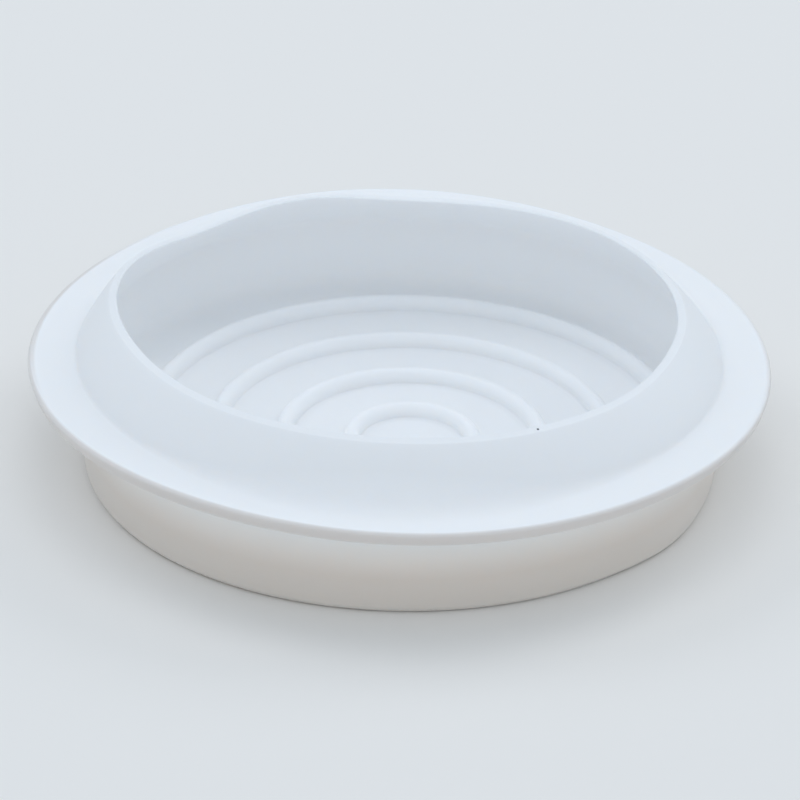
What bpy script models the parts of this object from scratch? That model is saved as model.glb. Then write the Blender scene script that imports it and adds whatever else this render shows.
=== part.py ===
"""Round silicone casting mould with a ringed floor, modelled in metres, +Z up.

The mould is one moulded piece. A flat base and a straight wall hold a round cavity, a
flange runs round the outside at about two thirds of the height, and above it a thin
collar leans inwards to a mouth that is narrower than the cavity. The cavity floor is
slightly dished and carries four concentric rounded rings.

The origin is the centre of the flat base, on the surface that the mould stands on.
"""

import math

import bpy

# Driving dimensions, in metres.
HEIGHT = 0.0510                      # base to the top of the lip
FLANGE_RADIUS = 0.1090
FLANGE_THICKNESS = 0.0044
FLANGE_UNDERSIDE = 0.0299            # height of the flange's lower face
FLANGE_EDGE_ROUND = 0.0011
WALL_RADIUS = 0.0938                 # outside of the wall, under the flange
WALL_DRAFT = 0.0004                  # how much narrower the wall is at the base
WALL_FILLET = 0.0015                 # between the wall and the flange's lower face
BASE_ROUND = 0.0025                  # corner between the wall and the flat base

CAVITY_RADIUS = 0.0900
CAVITY_CORNER_ROUND = 0.0080         # between the floor and the cavity's wall
COLLAR_BEND_ROUND = 0.0060           # between the cavity's wall and the collar
LIP_RADIUS = 0.0832                  # centre of the lip's round section
LIP_HALF_THICKNESS = 0.00115
COLLAR_LEAN = math.radians(28)       # of its inner side, from the vertical
COLLAR_TOP_LEAN = math.radians(40)   # of its bulging outer side, next to the lip
COLLAR_FOOT_LEAN = math.radians(27)  # of its outer side, down at the flange
COLLAR_FOOT_FILLET = 0.0010          # between the collar and the flange's upper face

FLOOR_THICKNESS = 0.0040             # at the centre
DISH_RADIUS = 0.510                  # the floor is part of a sphere of this radius
RING_COUNT = 4
FIRST_RING_RADIUS = 0.0180           # middle of the innermost ring
RING_PITCH = 0.0200
RING_WIDTH = 0.0050
RING_HEIGHT = 0.0036                 # above the dished floor

# Segments round the axis and along each curved stretch of the outline.
TURN_STEPS = 60
RING_SEGMENTS = 6
CORNER_SEGMENTS = 4
BEND_SEGMENTS = 2
LIP_SEGMENTS = 6
COLLAR_SEGMENTS = 4
FOOT_SEGMENTS = 2
EDGE_SEGMENTS = 3

SILICONE_WHITE = (0.80, 0.83, 0.86, 1.0)
SHARP_EDGE = math.radians(35)
MERGE_DISTANCE = 0.00001


def clear_scene():
    for old in list(bpy.data.objects):
        bpy.data.objects.remove(old, do_unlink=True)


def new_collection(name):
    collection = bpy.data.collections.new(name)
    bpy.context.scene.collection.children.link(collection)
    return collection


def arc(centre, radius, start, end, segments):
    """Points of an arc in the (r, z) plane, both ends included."""
    points = []
    for step in range(segments + 1):
        angle = start + (end - start) * step / segments
        r = centre[0] + radius * math.cos(angle)
        z = centre[1] + radius * math.sin(angle)
        points.append((r, z))
    return points


def dish_height(r):
    """Height of the dished floor, without its rings, at a distance from the axis."""
    return FLOOR_THICKNESS + DISH_RADIUS - math.sqrt(DISH_RADIUS ** 2 - r ** 2)


def ring_outline(radius):
    """A half ellipse that stands on the floor, from its inner foot to its outer foot."""
    points = []
    for step in range(RING_SEGMENTS + 1):
        angle = math.pi * (1 - step / RING_SEGMENTS)
        r = radius + RING_WIDTH / 2 * math.cos(angle)
        z = dish_height(r) + RING_HEIGHT * math.sin(angle)
        points.append((r, z))
    return points


def floor_outline():
    """From the floor's centre out to the last ring's outer foot."""
    points = [(0.0, FLOOR_THICKNESS)]
    for index in range(RING_COUNT):
        points += ring_outline(FIRST_RING_RADIUS + index * RING_PITCH)
    return points


def cavity_corner_outline():
    """The arc that is tangent to the dished floor and to the cavity's upright wall."""
    r = CAVITY_RADIUS - CAVITY_CORNER_ROUND
    rise = math.sqrt((DISH_RADIUS - CAVITY_CORNER_ROUND) ** 2 - r ** 2)
    centre = (r, FLOOR_THICKNESS + DISH_RADIUS - rise)
    start = -math.atan2(rise, r)
    return arc(centre, CAVITY_CORNER_ROUND, start, 0.0, CORNER_SEGMENTS)


def lip_centre():
    return (LIP_RADIUS, HEIGHT - LIP_HALF_THICKNESS)


def collar_bend_outline():
    """The arc from the cavity's upright wall into the leaning collar."""
    lip_r, lip_z = lip_centre()
    centre_r = CAVITY_RADIUS - COLLAR_BEND_ROUND
    # Measured square to the collar, this centre lies a bend radius inside the
    # collar's inner side, which lies half a thickness inside the lip's centre.
    distance = COLLAR_BEND_ROUND + LIP_HALF_THICKNESS
    across = (lip_r - centre_r) * math.cos(COLLAR_LEAN)
    centre_z = lip_z - (distance - across) / math.sin(COLLAR_LEAN)
    return arc((centre_r, centre_z), COLLAR_BEND_ROUND, 0.0, COLLAR_LEAN, BEND_SEGMENTS)


def lip_outline():
    """The round top of the collar, from its inner side over to its outer side."""
    start = math.pi + COLLAR_LEAN
    return arc(lip_centre(), LIP_HALF_THICKNESS, start, COLLAR_TOP_LEAN, LIP_SEGMENTS)


def flange_top():
    return FLANGE_UNDERSIDE + FLANGE_THICKNESS


def collar_outer_outline():
    """The collar's bulging outer side and the fillet from it onto the flange."""
    lip_r, lip_z = lip_centre()
    start_r = lip_r + LIP_HALF_THICKNESS * math.cos(COLLAR_TOP_LEAN)
    start_z = lip_z + LIP_HALF_THICKNESS * math.sin(COLLAR_TOP_LEAN)
    # The outer side ends as high above the flange as a fillet tangent to both needs.
    end_z = flange_top() + COLLAR_FOOT_FILLET * (1 - math.sin(COLLAR_FOOT_LEAN))
    fall = math.sin(COLLAR_TOP_LEAN) - math.sin(COLLAR_FOOT_LEAN)
    radius = (start_z - end_z) / fall
    centre_r = start_r - radius * math.cos(COLLAR_TOP_LEAN)
    centre_z = start_z - radius * math.sin(COLLAR_TOP_LEAN)
    centre = (centre_r, centre_z)
    points = arc(centre, radius, COLLAR_TOP_LEAN, COLLAR_FOOT_LEAN, COLLAR_SEGMENTS)
    end_r, end_z = points[-1]
    fillet_r = end_r + COLLAR_FOOT_FILLET * math.cos(COLLAR_FOOT_LEAN)
    fillet_z = end_z + COLLAR_FOOT_FILLET * math.sin(COLLAR_FOOT_LEAN)
    start = math.pi + COLLAR_FOOT_LEAN
    end = 1.5 * math.pi
    points += arc((fillet_r, fillet_z), COLLAR_FOOT_FILLET, start, end, FOOT_SEGMENTS)
    return points


def flange_edge_outline():
    """Both rounded corners of the flange's outer edge, upper one first."""
    r = FLANGE_RADIUS - FLANGE_EDGE_ROUND
    upper = (r, flange_top() - FLANGE_EDGE_ROUND)
    lower = (r, FLANGE_UNDERSIDE + FLANGE_EDGE_ROUND)
    points = arc(upper, FLANGE_EDGE_ROUND, math.pi / 2, 0.0, EDGE_SEGMENTS)
    points += arc(lower, FLANGE_EDGE_ROUND, 0.0, -math.pi / 2, EDGE_SEGMENTS)
    return points


def wall_outline():
    """The wall's outside, from the fillet under the flange down to the flat base."""
    fillet = (WALL_RADIUS + WALL_FILLET, FLANGE_UNDERSIDE - WALL_FILLET)
    points = arc(fillet, WALL_FILLET, math.pi / 2, math.pi, BEND_SEGMENTS)
    corner = (WALL_RADIUS - WALL_DRAFT - BASE_ROUND, BASE_ROUND)
    points += arc(corner, BASE_ROUND, 0.0, -math.pi / 2, EDGE_SEGMENTS)
    return points


def mould_outline():
    """Half section from the floor's centre, over the lip and down the outside."""
    points = floor_outline()
    points += cavity_corner_outline()
    points += collar_bend_outline()
    points += lip_outline()
    points += collar_outer_outline()
    points += flange_edge_outline()
    points += wall_outline()
    points.append((0.0, 0.0))
    return points


def silicone_material():
    material = bpy.data.materials.new("white_silicone")
    material.use_nodes = True
    shader = material.node_tree.nodes["Principled BSDF"]
    shader.inputs["Base Color"].default_value = SILICONE_WHITE
    shader.inputs["Roughness"].default_value = 0.45
    shader.inputs["Metallic"].default_value = 0.0
    return material


def make_turned(name, outline, material, collection):
    """Turn an open outline of (r, z) points round Z, with both its ends on the axis."""
    mesh = bpy.data.meshes.new(name)
    vertices = [(r, 0.0, z) for r, z in outline]
    edges = [(index, index + 1) for index in range(len(outline) - 1)]
    mesh.from_pydata(vertices, edges, [])
    mesh.materials.append(material)
    turned = bpy.data.objects.new(name, mesh)
    collection.objects.link(turned)
    screw = turned.modifiers.new("turn", 'SCREW')
    screw.axis = 'Z'
    screw.angle = 2 * math.pi
    screw.steps = TURN_STEPS
    screw.render_steps = TURN_STEPS
    screw.use_merge_vertices = True
    screw.merge_threshold = MERGE_DISTANCE
    return turned


def shade_round(turned):
    """Keep the turned shape as a mesh, shaded smooth but for its sharp edges."""
    depsgraph = bpy.context.evaluated_depsgraph_get()
    mesh = bpy.data.meshes.new_from_object(turned.evaluated_get(depsgraph))
    turned.modifiers.clear()
    turned.data = mesh
    mesh.shade_smooth()
    mesh.set_sharp_from_angle(angle=SHARP_EDGE)


def main():
    clear_scene()
    parts = new_collection("ring_casting_mould")
    material = silicone_material()
    mould = make_turned("silicone_mould", mould_outline(), material, parts)
    shade_round(mould)


main()
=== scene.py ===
# Looks of the round silicone casting mould. One closed mesh, worked out section by
# section round the axis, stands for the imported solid. It keeps the solid's flange, wall,
# cavity, dished floor and rings. Its lip is a wider flat band instead of a round one, and
# it adds the softer corners, the sagging collar and the waves of the real thing.

import math

import bpy
import numpy as np
from mathutils import Matrix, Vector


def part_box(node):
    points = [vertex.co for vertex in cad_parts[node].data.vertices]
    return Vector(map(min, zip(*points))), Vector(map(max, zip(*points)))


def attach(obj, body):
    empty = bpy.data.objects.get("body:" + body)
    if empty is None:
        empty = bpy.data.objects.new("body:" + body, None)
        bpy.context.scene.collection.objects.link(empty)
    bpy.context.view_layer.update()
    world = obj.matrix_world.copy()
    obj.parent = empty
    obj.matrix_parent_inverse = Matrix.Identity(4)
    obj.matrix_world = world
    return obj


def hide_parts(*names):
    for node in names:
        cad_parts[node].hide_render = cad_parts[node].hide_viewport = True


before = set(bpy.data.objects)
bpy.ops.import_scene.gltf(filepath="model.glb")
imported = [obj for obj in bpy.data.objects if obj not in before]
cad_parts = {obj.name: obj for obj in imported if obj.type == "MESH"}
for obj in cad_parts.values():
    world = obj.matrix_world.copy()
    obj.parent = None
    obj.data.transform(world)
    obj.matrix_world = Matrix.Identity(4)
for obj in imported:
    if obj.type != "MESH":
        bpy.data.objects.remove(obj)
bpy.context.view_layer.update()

MM = 0.001

# Sizes, in metres. The outer ones are read from the solid.
LOW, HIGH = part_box("silicone_mould")
HEIGHT = HIGH[2]
FLANGE_RADIUS = (HIGH[0] - LOW[0]) / 2
FLANGE_THICKNESS = 4.4 * MM
FLANGE_UNDERSIDE = 29.9 * MM
FLANGE_TOP = FLANGE_UNDERSIDE + FLANGE_THICKNESS
FLANGE_EDGE_ROUND = 1.1 * MM
FLANGE_EDGE_DRAFT = 0.7 * MM         # how far the edge falls back, lower down
WALL_RADIUS = 93.8 * MM
WALL_DRAFT = 0.4 * MM
WALL_FILLET = 1.5 * MM
BASE_ROUND = 2.5 * MM
CAVITY_RADIUS = 90.0 * MM
CAVITY_CORNER_ROUND = 8.0 * MM
COLLAR_BEND_ROUND = 4.0 * MM
LIP_RADIUS = 81.8 * MM               # of its inner corner, where nothing sags
LIP_DROP = 0.7 * MM                  # how far that corner lies below the solid's top
LIP_WIDTH = 3.0 * MM
LIP_TILT = math.radians(19)          # the lip's flat top falls outwards
LIP_INNER_ROUND = 0.35 * MM
LIP_OUTER_ROUND = 0.60 * MM
COLLAR_PIVOT_HEIGHT = 34.6 * MM      # where its inner side meets the cavity's wall
COLLAR_BULGE = math.radians(6.5)     # the outer side's lean changes by twice this
COLLAR_FOOT_RADIUS = 94.9 * MM
COLLAR_FOOT_FILLET = 0.8 * MM
FLOOR_THICKNESS = 4.0 * MM
DISH_RADIUS = 510 * MM
RING_COUNT = 4
FIRST_RING_RADIUS = 18.0 * MM
RING_PITCH = 20.0 * MM
RING_WIDTH = 5.0 * MM
RING_HEIGHT = 3.6 * MM
RING_FOOT_ROUND = 0.45 * MM

# Soft departures of this mould from a true turned shape. Middles and half widths are
# in degrees round the axis, from +X towards +Y. A pair is where a fade starts and ends.
RING_SHIFT = 4.0 * MM                # the ring pattern lies this far towards +X
RING_SHIFT_FADE = (79.5 * MM, CAVITY_RADIUS)
SOFT_FOOT_FILLET = 15.0 * MM         # added on the near side, where the foot fades out
SOFT_FOOT_MIDDLE = -90
SOFT_FOOT_HALF_WIDTH = 30
COLLAR_SIDE_LEAN = math.radians(3.5)  # the collar leans inwards more at +X, less at -X
# Each sag leans the collar inwards, or back out where it is negative: its middle, half
# width and lean, all in degrees.
COLLAR_SAGS = (
    (94, 40, 20.2),
    (109, 13, -3.6),
    (142, 19, 15.0),
    (-154, 18, 5.0),
    (-20, 15, 5.0),
)
TOP_TILT = 1.0 * MM                  # the lip is this much lower at +X, higher at -X
TOP_DRIFT = 0.45 * MM                # and lies this far towards -X
# Waves of the flange's edge, up and down: waves round, cosine and sine parts.
FLANGE_WAVES = (
    (2, -1.10 * MM, 0.27 * MM),
    (3, 0.24 * MM, -0.60 * MM),
    (5, -0.10 * MM, 0.18 * MM),
)
FLANGE_WAVE_POWER = 1.5              # how steeply they grow from the wall to the edge
BODY_SWELL = 0.2 * MM                # the wall is this much wider, down at the base
BODY_WAVES = ((3, 0.35 * MM, 0.0), (5, 0.10 * MM, 0.08 * MM))
BODY_BULGE = 1.3 * MM                # and it bulges at one place
BODY_BULGE_MIDDLE = -33
BODY_BULGE_HALF_WIDTH = 12
SWELL_RADIUS_FADE = (84 * MM, 91 * MM)
SWELL_HEIGHT_FADE = (8 * MM, 26 * MM)

# Mesh density: how many parts each stretch of the section is cut into, in order from
# the floor's centre to the middle of the base.
TURN_STEPS = 288                     # sections round the axis
FLOOR_GAP_SEGMENTS = 7
RING_TOP_SEGMENTS = 16
RING_FOOT_SEGMENTS = 3
CAVITY_CORNER_GAP = 0.2 * MM         # kept between the last ring's foot and the corner
CAVITY_CORNER_SEGMENTS = 14
CAVITY_WALL_SEGMENTS = 9
COLLAR_BEND_SEGMENTS = 10
COLLAR_INSIDE_SEGMENTS = 8
LIP_INNER_SEGMENTS = 8
LIP_TOP_SEGMENTS = 4
LIP_OUTER_SEGMENTS = 6
COLLAR_OUTSIDE_SEGMENTS = 14
COLLAR_FOOT_SEGMENTS = 8
FLANGE_TOP_SEGMENTS = 12
FLANGE_EDGE_SEGMENTS = 7
FLANGE_UNDERSIDE_SEGMENTS = 8
WALL_FILLET_SEGMENTS = 5
WALL_SEGMENTS = 12
BASE_CORNER_SEGMENTS = 8
BASE_SEGMENTS = 8
HALVINGS = 40                        # of the range that holds a ring's foot angle

QUARTER = math.pi / 2

# Colours, and where they lie: a pair is where a mask's fade starts and ends.
CLOUD_COLOURS = ((0.974, 0.978, 0.981, 1.0), (0.982, 0.986, 0.989, 1.0))
# Painted shade: the wall below the flange is coloured greyer and warmer, most of all near
# its base.
PAINTED_WALL_SHADE_COLOUR = (0.84, 0.77, 0.70, 1.0)
PAINTED_WALL_SHADE_RADII = (90.8 * MM, 92.6 * MM)
PAINTED_WALL_SHADE_HEIGHTS = (11 * MM, 28 * MM)
# Painted shade: the flange's edge is coloured greyer.
PAINTED_EDGE_SHADE_COLOUR = (0.75, 0.71, 0.68, 1.0)
PAINTED_EDGE_SHADE_RADII = (107.8 * MM, 108.7 * MM)
PAINTED_LOW_EDGE_SHADE_RADII = (106.9 * MM, 107.7 * MM)
PAINTED_LOW_EDGE_SHADE_HEIGHTS = (33 * MM, 34 * MM)
# A speck of dirt on the lip.
SPECK_PLACE = (38.6 * MM, -73.4 * MM, 49.0 * MM)
SPECK_RADII = (0.25 * MM, 0.45 * MM)
SPECK_COLOUR = (0.02, 0.02, 0.03, 1.0)

# What is the same all over the silicone, by the shader's own names.
SILICONE = {
    "Metallic": 0.0,
    "IOR": 1.41,
    "Subsurface Weight": 1.0,
    "Subsurface Radius": (1.0, 0.95, 0.9),
    "Subsurface Scale": 3.5 * MM,
    "Specular IOR Level": 0.4,
}
# Noises in the silicone: scale, detail and roughness.
CLOUD_NOISE = (22.0, 3.0, 0.55)
SATIN_NOISE = (60.0, 4.0, 0.6)
GRAIN_NOISE = (2600.0, 2.0, 0.5)
RIPPLE_NOISE = (90.0, 3.0, 0.5)
NOISE_RANGE = (0.3, 0.7)             # the part of a noise's values that is used
ROUGHNESS_RANGE = (0.46, 0.60)
# Bumps in the silicone: strength and depth.
GRAIN_BUMP = (0.12, 0.05 * MM)
RIPPLE_BUMP = (0.25, 0.35 * MM)

GROUND_HALF_SIDE = 6.0
GROUND = {
    "Base Color": (0.91, 0.88, 0.84, 1.0),
    "Roughness": 0.9,
    "Specular IOR Level": 0.1,
}

# The surround's strength grows with the direction's Z, which is 0 at the horizon.
SURROUND_COLOUR = (0.785, 0.89, 1.0, 1.0)
SURROUND_HEIGHTS = (0.0, 0.9)
SURROUND_STRENGTHS = (0.40, 0.80)
LIGHT_SIZE = 1.2
LIGHT_TARGET = (0.0, 0.0, 0.0)
# Each soft light's name, place, power in watts and colour.
LIGHTS = (
    ("top_softbox", (0.0, 0.2, 2.2), 4.4, (0.97, 0.97, 1.0)),
    ("front_softbox", (0.0, -1.7, 1.4), 3.0, (0.97, 0.97, 1.0)),
    ("left_softbox", (-1.35, 0.8, 1.55), 5.0, (0.9, 0.93, 1.0)),
    ("right_softbox", (1.3, 1.1, 1.4), 5.5, (0.96, 0.97, 1.0)),
)

CAMERA_TARGET = (0.12 * MM, 0.0, 18.08 * MM)
CAMERA_DISTANCE = 1.308
CAMERA_ELEVATION = math.radians(27.91)
CAMERA_ROLL = math.radians(1.64)
LENS_MM = 199.28
SENSOR_WIDTH_MM = 36.0


def smooth(value, start, end):
    """0 before start, 1 after end, and an even ease between them."""
    share = min(1.0, max(0.0, (value - start) / (end - start)))
    return share * share * (3 - 2 * share)


def hump(angle, middle, half_width):
    """A round hump round one angle, in degrees, that fades out on both sides."""
    away = (angle - middle + 180) % 360 - 180
    return math.exp(-(away / half_width) ** 2)


def waves(terms, angle):
    total = 0.0
    for count, cosine, sine in terms:
        total += cosine * math.cos(count * angle) + sine * math.sin(count * angle)
    return total


def arc(centre, radius, start, end, segments):
    points = []
    for step in range(segments + 1):
        angle = start + (end - start) * step / segments
        r = centre[0] + radius * math.cos(angle)
        z = centre[1] + radius * math.sin(angle)
        points.append((r, z))
    return points


def straight(start, end, segments):
    """Points strictly between two points."""
    points = []
    for step in range(1, segments):
        share = step / segments
        r = start[0] + (end[0] - start[0]) * share
        z = start[1] + (end[1] - start[1]) * share
        points.append((r, z))
    return points


def dish_height(r):
    return FLOOR_THICKNESS + DISH_RADIUS - math.sqrt(DISH_RADIUS ** 2 - r ** 2)


def ring_section():
    """Half of a ring's section, from its top to its foot: distance out and height.

    The ring is half an ellipse, and a small fillet joins it to the floor.
    """
    half = RING_WIDTH / 2

    def fillet_centre(angle):
        across = math.cos(angle) / half
        up = math.sin(angle) / RING_HEIGHT
        length = math.hypot(across, up)
        r = half * math.cos(angle) + RING_FOOT_ROUND * across / length
        z = RING_HEIGHT * math.sin(angle) + RING_FOOT_ROUND * up / length
        return r, z

    # The angle on the ellipse from which the fillet just reaches the floor.
    low, foot_angle = 0.0, QUARTER
    for _ in range(HALVINGS):
        middle = (low + foot_angle) / 2
        if fillet_centre(middle)[1] < RING_FOOT_ROUND:
            low = middle
        else:
            foot_angle = middle
    points = []
    for step in range(RING_TOP_SEGMENTS // 2 + 1):
        share = step / (RING_TOP_SEGMENTS // 2)
        angle = QUARTER + (foot_angle - QUARTER) * share
        points.append((half * math.cos(angle), RING_HEIGHT * math.sin(angle)))
    centre = fillet_centre(foot_angle)
    start = math.atan2(points[-1][1] - centre[1], points[-1][0] - centre[0])
    if start > 0:
        start -= 2 * math.pi
    foot = arc(centre, RING_FOOT_ROUND, start, -QUARTER, RING_FOOT_SEGMENTS)
    return points + foot[1:]


def floor_section():
    """The ringed floor, from its centre to the last ring's outer foot."""
    half = ring_section()
    points = []
    last = 0.0
    for index in range(RING_COUNT):
        radius = FIRST_RING_RADIUS + index * RING_PITCH
        inner = radius - half[-1][0]
        for step in range(1, FLOOR_GAP_SEGMENTS):
            r = last + (inner - last) * step / FLOOR_GAP_SEGMENTS
            points.append((r, dish_height(r)))
        for out, up in reversed(half):
            r = radius - out
            points.append((r, dish_height(r) + up))
        for out, up in half[1:]:
            r = radius + out
            points.append((r, dish_height(r) + up))
        last = radius + half[-1][0]
    return points


def corner_section():
    """The round corner between the dished floor and the cavity's wall."""
    r = CAVITY_RADIUS - CAVITY_CORNER_ROUND
    rise = math.sqrt((DISH_RADIUS - CAVITY_CORNER_ROUND) ** 2 - r ** 2)
    centre = (r, FLOOR_THICKNESS + DISH_RADIUS - rise)
    start = -math.atan2(rise, r)
    points = arc(centre, CAVITY_CORNER_ROUND, start, 0.0, CAVITY_CORNER_SEGMENTS)
    last_ring_radius = FIRST_RING_RADIUS + (RING_COUNT - 1) * RING_PITCH
    floor_end = last_ring_radius + ring_section()[-1][0]
    return [point for point in points if point[0] > floor_end + CAVITY_CORNER_GAP]


def rounded_corner(corner, arriving, leaving, radius, segments):
    """The arc that rounds a right turn, from the directions before and after it."""
    cut = radius * math.tan((arriving - leaving) / 2)
    start_r = corner[0] - cut * math.cos(arriving)
    start_z = corner[1] - cut * math.sin(arriving)
    centre_r = start_r + radius * math.sin(arriving)
    centre_z = start_z - radius * math.cos(arriving)
    centre = (centre_r, centre_z)
    return arc(centre, radius, arriving + QUARTER, leaving + QUARTER, segments)


def extra_lean(angle):
    """How much more than its even lean the collar leans inwards."""
    degrees = math.degrees(angle)
    lean = COLLAR_SIDE_LEAN * math.cos(angle)
    for middle, half_width, extra in COLLAR_SAGS:
        lean += math.radians(extra) * hump(degrees, middle, half_width)
    return lean


def outer_side(top, top_lean, foot_lean, fillet):
    """The collar's bulging outer side, from the lip down, and its foot fillet."""
    end_z = FLANGE_TOP + fillet * (1 - math.sin(foot_lean))
    radius = (top[1] - end_z) / (math.sin(top_lean) - math.sin(foot_lean))
    centre_r = top[0] - radius * math.cos(top_lean)
    centre_z = top[1] - radius * math.sin(top_lean)
    centre = (centre_r, centre_z)
    points = arc(centre, radius, top_lean, foot_lean, COLLAR_OUTSIDE_SEGMENTS)
    centre = (points[-1][0] + fillet * math.cos(foot_lean), FLANGE_TOP + fillet)
    start = math.pi + foot_lean
    foot = arc(centre, fillet, start, 3 * QUARTER, COLLAR_FOOT_SEGMENTS)
    return points + foot[1:]


def collar_section(angle):
    """From the cavity's wall up the collar, over its lip and down onto the flange."""
    extra = extra_lean(angle)
    rise = HEIGHT - LIP_DROP - COLLAR_PIVOT_HEIGHT
    even_lean = math.atan2(CAVITY_RADIUS - LIP_RADIUS, rise)
    length = math.hypot(CAVITY_RADIUS - LIP_RADIUS, rise)
    lean = even_lean + extra
    bend_z = COLLAR_PIVOT_HEIGHT - COLLAR_BEND_ROUND * math.tan(lean / 2)
    bend_r = CAVITY_RADIUS - COLLAR_BEND_ROUND
    bend = arc((bend_r, bend_z), COLLAR_BEND_ROUND, 0.0, lean, COLLAR_BEND_SEGMENTS)

    inner_r = CAVITY_RADIUS - length * math.sin(lean)
    inner_z = COLLAR_PIVOT_HEIGHT + length * math.cos(lean)
    across = extra - LIP_TILT
    outer_r = inner_r + LIP_WIDTH * math.cos(across)
    outer_z = inner_z + LIP_WIDTH * math.sin(across)
    outer_lean = math.atan2(COLLAR_FOOT_RADIUS - outer_r, outer_z - FLANGE_TOP)
    top_lean = outer_lean + COLLAR_BULGE
    up = QUARTER + lean
    down = top_lean - QUARTER
    inner = rounded_corner(
        (inner_r, inner_z), up, across, LIP_INNER_ROUND, LIP_INNER_SEGMENTS
    )
    outer = rounded_corner(
        (outer_r, outer_z), across, down, LIP_OUTER_ROUND, LIP_OUTER_SEGMENTS
    )
    softness = hump(math.degrees(angle), SOFT_FOOT_MIDDLE, SOFT_FOOT_HALF_WIDTH)
    fillet = COLLAR_FOOT_FILLET + SOFT_FOOT_FILLET * softness
    side = outer_side((outer_r, outer_z), top_lean, outer_lean - COLLAR_BULGE, fillet)
    points = bend + straight(bend[-1], inner[0], COLLAR_INSIDE_SEGMENTS) + inner
    return points + straight(inner[-1], outer[0], LIP_TOP_SEGMENTS) + outer + side[1:]


def upper_section(angle):
    """From the cavity's wall over the lip and the flange, down to the flat base."""
    collar = collar_section(angle)
    points = straight(corner_section()[-1], collar[0], CAVITY_WALL_SEGMENTS) + collar

    edge_r = FLANGE_RADIUS - FLANGE_EDGE_ROUND
    centre = (edge_r, FLANGE_TOP - FLANGE_EDGE_ROUND)
    upper = arc(centre, FLANGE_EDGE_ROUND, QUARTER, 0.0, FLANGE_EDGE_SEGMENTS)
    centre = (edge_r - FLANGE_EDGE_DRAFT, FLANGE_UNDERSIDE + FLANGE_EDGE_ROUND)
    lower = arc(centre, FLANGE_EDGE_ROUND, 0.0, -QUARTER, FLANGE_EDGE_SEGMENTS)
    points += straight(collar[-1], upper[0], FLANGE_TOP_SEGMENTS) + upper + lower

    centre = (WALL_RADIUS + WALL_FILLET, FLANGE_UNDERSIDE - WALL_FILLET)
    fillet = arc(centre, WALL_FILLET, QUARTER, math.pi, WALL_FILLET_SEGMENTS)
    points += straight(lower[-1], fillet[0], FLANGE_UNDERSIDE_SEGMENTS) + fillet

    centre = (WALL_RADIUS - WALL_DRAFT - BASE_ROUND, BASE_ROUND)
    corner = arc(centre, BASE_ROUND, 0.0, -QUARTER, BASE_CORNER_SEGMENTS)
    points += straight(fillet[-1], corner[0], WALL_SEGMENTS) + corner
    return points + straight(corner[-1], (0.0, 0.0), BASE_SEGMENTS)


def place(r, z, angle, on_floor):
    """Where a point of the section goes, with the mould's soft departures."""
    bulge = hump(math.degrees(angle), BODY_BULGE_MIDDLE, BODY_BULGE_HALF_WIDTH)
    swell = BODY_SWELL + waves(BODY_WAVES, angle) + BODY_BULGE * bulge
    swell *= smooth(r, *SWELL_RADIUS_FADE) * (1 - smooth(z, *SWELL_HEIGHT_FADE))
    x = (r + swell) * math.cos(angle)
    y = (r + swell) * math.sin(angle)
    if on_floor:
        x += RING_SHIFT * (1 - smooth(r, *RING_SHIFT_FADE))
    reach = max(0.0, r - WALL_RADIUS) / (FLANGE_RADIUS - WALL_RADIUS)
    z += waves(FLANGE_WAVES, angle) * reach ** FLANGE_WAVE_POWER
    z -= TOP_TILT * math.cos(angle) * smooth(z, FLANGE_TOP, HEIGHT)
    x -= TOP_DRIFT * z / HEIGHT
    return x, y, z


def build_mould():
    floor = floor_section() + corner_section()
    count = len(floor) + len(upper_section(0.0))
    vertices = [(RING_SHIFT, 0.0, FLOOR_THICKNESS), (0.0, 0.0, 0.0)]
    for step in range(TURN_STEPS):
        angle = 2 * math.pi * step / TURN_STEPS
        for r, z in floor:
            vertices.append(place(r, z, angle, True))
        for r, z in upper_section(angle):
            vertices.append(place(r, z, angle, False))
    faces = []
    for step in range(TURN_STEPS):
        here = 2 + step * count
        there = 2 + (step + 1) % TURN_STEPS * count
        faces.append((0, here, there))
        for index in range(count - 1):
            a, b = here + index, there + index
            faces.append((a, a + 1, b + 1, b))
        faces.append((here + count - 1, 1, there + count - 1))
    mesh = bpy.data.meshes.new("mould_skin")
    mesh.from_pydata(vertices, [], faces)
    mesh.update()
    mesh.shade_smooth()
    skin = bpy.data.objects.new("mould_skin", mesh)
    bpy.context.scene.collection.objects.link(skin)
    return skin


def new_material(name, settings):
    """A material of one Principled node, with what is the same all over it set."""
    material = bpy.data.materials.new(name)
    material.use_nodes = True
    shader = material.node_tree.nodes["Principled BSDF"]
    for socket, value in settings.items():
        shader.inputs[socket].default_value = value
    return material


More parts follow.
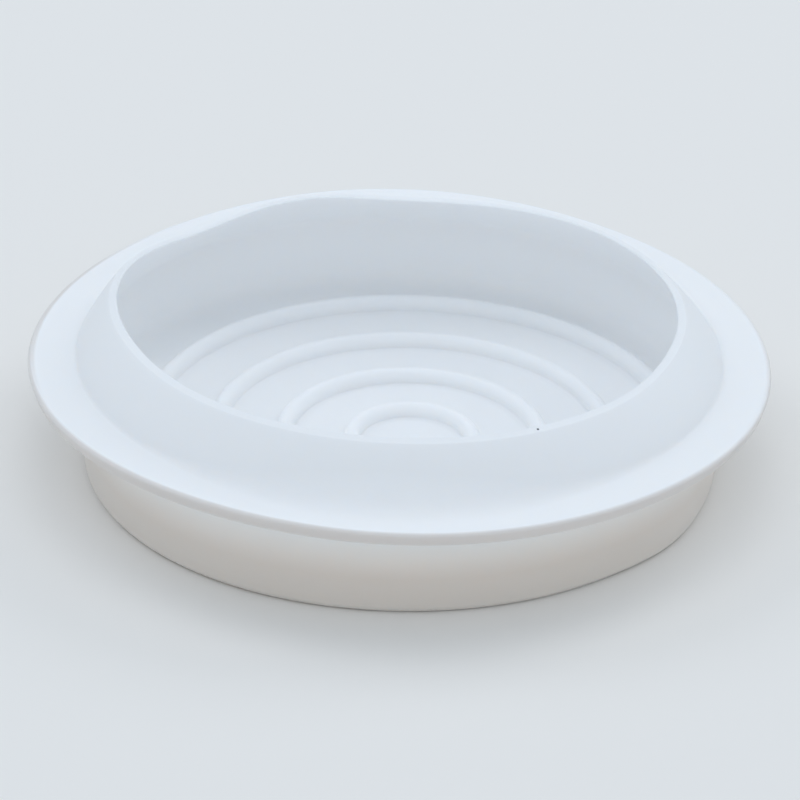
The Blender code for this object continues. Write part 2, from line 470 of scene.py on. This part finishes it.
def silicone_material():
    """White, slightly translucent silicone with a satin skin."""
    material = new_material("white_silicone_skin", SILICONE)
    nodes, links = material.node_tree.nodes, material.node_tree.links
    shader = nodes["Principled BSDF"]
    position = nodes.new("ShaderNodeTexCoord").outputs["Object"]

    def noise(scale, detail, roughness):
        node = nodes.new("ShaderNodeTexNoise")
        node.inputs["Scale"].default_value = scale
        node.inputs["Detail"].default_value = detail
        node.inputs["Roughness"].default_value = roughness
        links.new(position, node.inputs["Vector"])
        return node.outputs["Fac"]

    def span(value, start, end, low, high):
        """Maps a value between start and end to low and high, and holds it outside."""
        node = nodes.new("ShaderNodeMapRange")
        node.inputs["From Min"].default_value = start
        node.inputs["From Max"].default_value = end
        node.inputs["To Min"].default_value = low
        node.inputs["To Max"].default_value = high
        links.new(value, node.inputs["Value"])
        return node.outputs["Result"]

    def combine(operation, first, second):
        node = nodes.new("ShaderNodeMath")
        node.operation = operation
        links.new(first, node.inputs[0])
        links.new(second, node.inputs[1])
        return node.outputs[0]

    def mix(share, first, second):
        """Mixes two colours, each a tuple or another node's output."""
        node = nodes.new("ShaderNodeMix")
        node.data_type = 'RGBA'
        links.new(share, node.inputs[0])
        for socket, colour in ((node.inputs[6], first), (node.inputs[7], second)):
            if isinstance(colour, tuple):
                socket.default_value = colour
            else:
                links.new(colour, socket)
        return node.outputs[2]

    def surface_bump(height, strength, depth):
        node = nodes.new("ShaderNodeBump")
        node.inputs["Strength"].default_value = strength
        node.inputs["Distance"].default_value = depth
        links.new(height, node.inputs["Height"])
        return node

    split = nodes.new("ShaderNodeSeparateXYZ")
    links.new(position, split.inputs[0])
    x, y, height = split.outputs
    squares = [combine('MULTIPLY', axis, axis) for axis in (x, y)]
    radius_squared = combine('ADD', *squares)

    def beyond(radii):
        """0 inside the first radius, 1 outside the second."""
        return span(radius_squared, radii[0] ** 2, radii[1] ** 2, 0.0, 1.0)

    def below(heights):
        """1 below the first height, 0 above the second."""
        return span(height, *heights, 1.0, 0.0)

    # Faint, wide clouds in the colour, as in poured silicone.
    clouds = span(noise(*CLOUD_NOISE), *NOISE_RANGE, 0.0, 1.0)
    colour = mix(clouds, *CLOUD_COLOURS)

    # The wall below the flange is painted greyer and warmer, most of all at its base:
    # painted shade for the shade under the flange.
    in_wall_shade = combine('MULTIPLY', beyond(PAINTED_WALL_SHADE_RADII), below(PAINTED_WALL_SHADE_HEIGHTS))
    colour = mix(in_wall_shade, colour, PAINTED_WALL_SHADE_COLOUR)

    # The flange's edge is painted greyer too, as painted shade. Its lower part falls back,
    # so its mask starts further in.
    low_edge_shade = combine('MULTIPLY', beyond(PAINTED_LOW_EDGE_SHADE_RADII), below(PAINTED_LOW_EDGE_SHADE_HEIGHTS))
    in_edge_shade = combine('MAXIMUM', beyond(PAINTED_EDGE_SHADE_RADII), low_edge_shade)
    colour = mix(in_edge_shade, colour, PAINTED_EDGE_SHADE_COLOUR)

    away = nodes.new("ShaderNodeVectorMath")
    away.operation = 'DISTANCE'
    links.new(position, away.inputs[0])
    away.inputs[1].default_value = SPECK_PLACE
    in_speck = span(away.outputs["Value"], *SPECK_RADII, 1.0, 0.0)
    colour = mix(in_speck, colour, SPECK_COLOUR)
    links.new(colour, shader.inputs["Base Color"])

    # Satin skin, with patches that are a little duller where it has been handled.
    satin = span(noise(*SATIN_NOISE), *NOISE_RANGE, *ROUGHNESS_RANGE)
    links.new(satin, shader.inputs["Roughness"])

    # A fine grain over wide, shallow ripples.
    grain = surface_bump(noise(*GRAIN_NOISE), *GRAIN_BUMP)
    ripple = surface_bump(noise(*RIPPLE_NOISE), *RIPPLE_BUMP)
    links.new(grain.outputs["Normal"], ripple.inputs["Normal"])
    links.new(ripple.outputs["Normal"], shader.inputs["Normal"])
    return material


def build_floor():
    half = GROUND_HALF_SIDE
    mesh = bpy.data.meshes.new("studio_floor")
    corners = [(-half, -half, 0), (half, -half, 0), (half, half, 0), (-half, half, 0)]
    mesh.from_pydata(corners, [], [(0, 1, 2, 3)])
    mesh.materials.append(new_material("studio_floor", GROUND))
    floor = bpy.data.objects.new("studio_floor", mesh)
    bpy.context.scene.collection.objects.link(floor)


def aim(obj, target, roll):
    """Points an object's -Z at a target, keeps its +X level, then rolls it."""
    away = np.array(obj.location) - np.array(target)
    away = away / np.linalg.norm(away)
    right = np.cross((0.0, 0.0, 1.0), away)
    right = right / np.linalg.norm(right)
    up = np.cross(away, right)
    turned_right = math.cos(roll) * right + math.sin(roll) * up
    turned_up = math.cos(roll) * up - math.sin(roll) * right
    columns = np.array((turned_right, turned_up, away)).T
    obj.rotation_euler = Matrix(columns.tolist()).to_euler()


def build_camera():
    data = bpy.data.cameras.new("camera")
    data.lens = LENS_MM
    data.sensor_width = SENSOR_WIDTH_MM
    data.dof.use_dof = False
    data.clip_start = 0.05
    data.clip_end = 50.0
    camera = bpy.data.objects.new("camera", data)
    camera.location = (
        CAMERA_TARGET[0],
        CAMERA_TARGET[1] - CAMERA_DISTANCE * math.cos(CAMERA_ELEVATION),
        CAMERA_TARGET[2] + CAMERA_DISTANCE * math.sin(CAMERA_ELEVATION),
    )
    aim(camera, CAMERA_TARGET, CAMERA_ROLL)
    bpy.context.scene.collection.objects.link(camera)
    bpy.context.scene.camera = camera


def area_light(name, location, power, colour):
    data = bpy.data.lights.new(name, 'AREA')
    data.shape = 'DISK'
    data.size = LIGHT_SIZE
    data.energy = power
    data.color = colour
    light = bpy.data.objects.new(name, data)
    light.location = location
    aim(light, LIGHT_TARGET, 0.0)
    bpy.context.scene.collection.objects.link(light)


def build_light():
    """A slightly blue surround, brighter overhead, and four soft round lights."""
    world = bpy.data.worlds.new("studio")
    world.use_nodes = True
    nodes, links = world.node_tree.nodes, world.node_tree.links
    shade = nodes["Background"]
    shade.inputs["Color"].default_value = SURROUND_COLOUR
    direction = nodes.new("ShaderNodeTexCoord")
    split = nodes.new("ShaderNodeSeparateXYZ")
    links.new(direction.outputs["Generated"], split.inputs[0])
    rise = nodes.new("ShaderNodeMapRange")
    rise.inputs["From Min"].default_value = SURROUND_HEIGHTS[0]
    rise.inputs["From Max"].default_value = SURROUND_HEIGHTS[1]
    rise.inputs["To Min"].default_value = SURROUND_STRENGTHS[0]
    rise.inputs["To Max"].default_value = SURROUND_STRENGTHS[1]
    links.new(split.outputs[2], rise.inputs["Value"])
    links.new(rise.outputs["Result"], shade.inputs["Strength"])
    bpy.context.scene.world = world
    for name, location, power, colour in LIGHTS:
        area_light(name, location, power, colour)


mould = build_mould()
mould.data.materials.append(silicone_material())
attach(mould, "root")
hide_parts("silicone_mould")

build_floor()
build_light()
build_camera()
bpy.context.scene.view_settings.view_transform = 'Standard'
